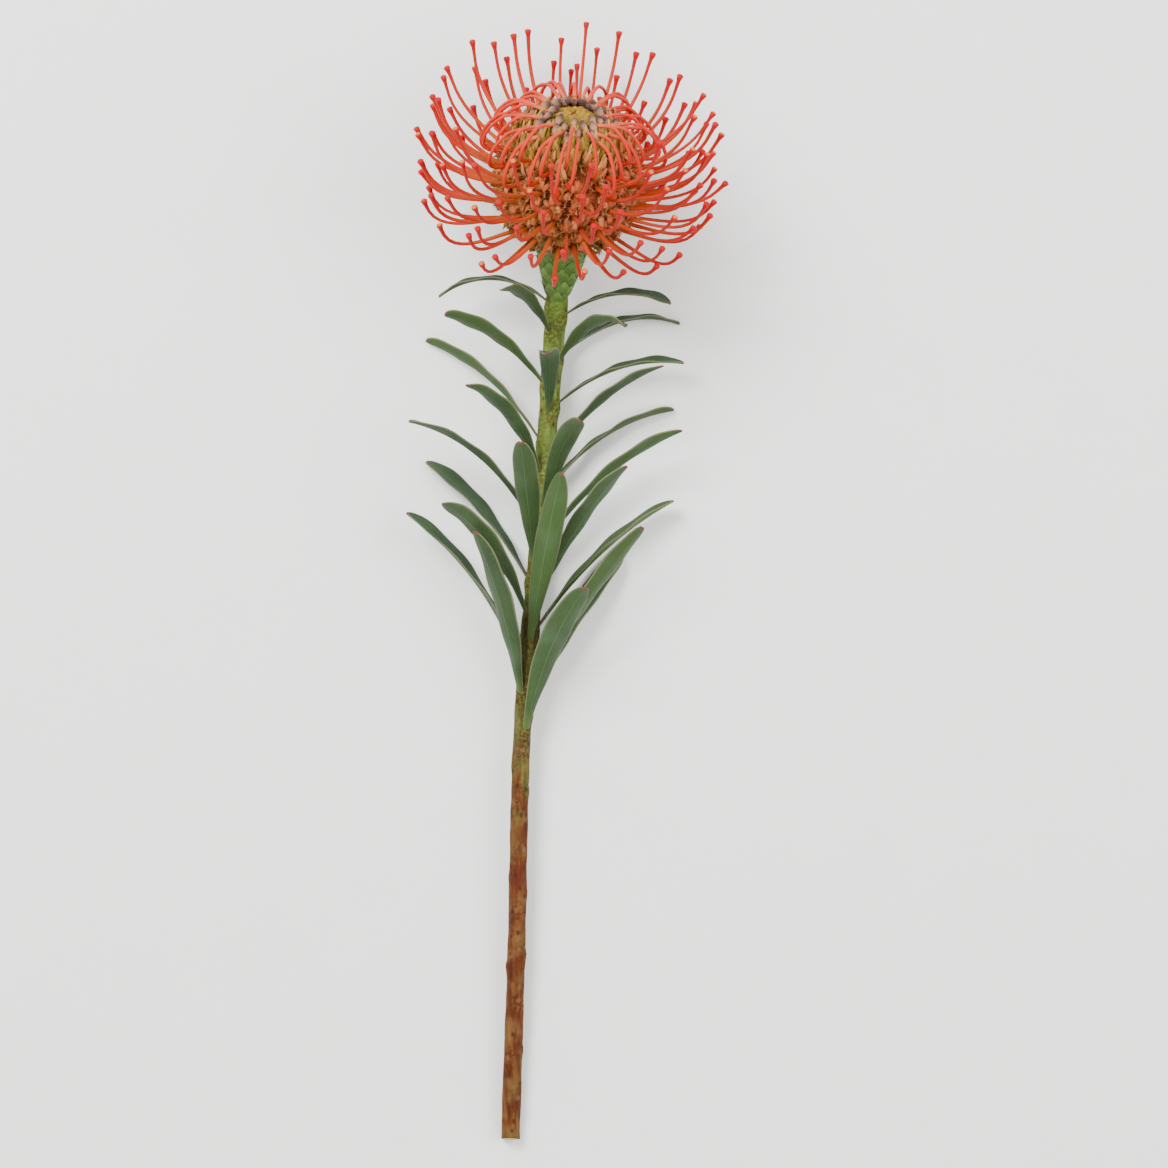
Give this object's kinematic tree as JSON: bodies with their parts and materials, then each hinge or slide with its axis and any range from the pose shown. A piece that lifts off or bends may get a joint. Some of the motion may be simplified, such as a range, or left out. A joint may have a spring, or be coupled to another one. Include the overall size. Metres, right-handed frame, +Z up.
{
  "type": "succession pincushion",
  "caption": "Cut pincushion flower lying on its back: a woody stem with strap leaves and a round coral head of hooked styles round closed buds.",
  "frame": {"origin": "centre of the outline on the surface that the stem lies on", "axes": "+Y along the stem from its cut end to the flower head, +Z up from the surface, +X to the right as seen from above"},
  "size_m": [0.1433, 0.506, 0.1288],
  "materials": {
    "stem": "green bark with brown flecks, red-brown towards the cut end, satin",
    "bracts": "green scales with darker notches and short grey down",
    "open_florets": "waxy coral styles out of tan, downy, rolled-back petals",
    "closed_florets": "cream and grey down",
    "leaf": "leathery green with a faint bloom and a red tip"
  },
  "bodies": {
    "root": {"stem": "stem", "bracts": "bracts", "open_florets": "open_florets", "closed_florets": "closed_florets", "leaf_01": "leaf", "leaf_02": "leaf", "leaf_03": "leaf", "leaf_04": "leaf", "leaf_05": "leaf", "leaf_06": "leaf", "leaf_07": "leaf", "leaf_08": "leaf", "leaf_09": "leaf", "leaf_10": "leaf", "leaf_11": "leaf", "leaf_12": "leaf", "leaf_13": "leaf", "leaf_14": "leaf", "leaf_15": "leaf", "leaf_16": "leaf", "leaf_17": "leaf", "leaf_18": "leaf", "leaf_19": "leaf", "leaf_20": "leaf", "leaf_21": "leaf", "leaf_22": "leaf", "leaf_23": "leaf", "leaf_24": "leaf", "leaf_25": "leaf", "leaf_26": "leaf"}
  },
  "joints": []
}
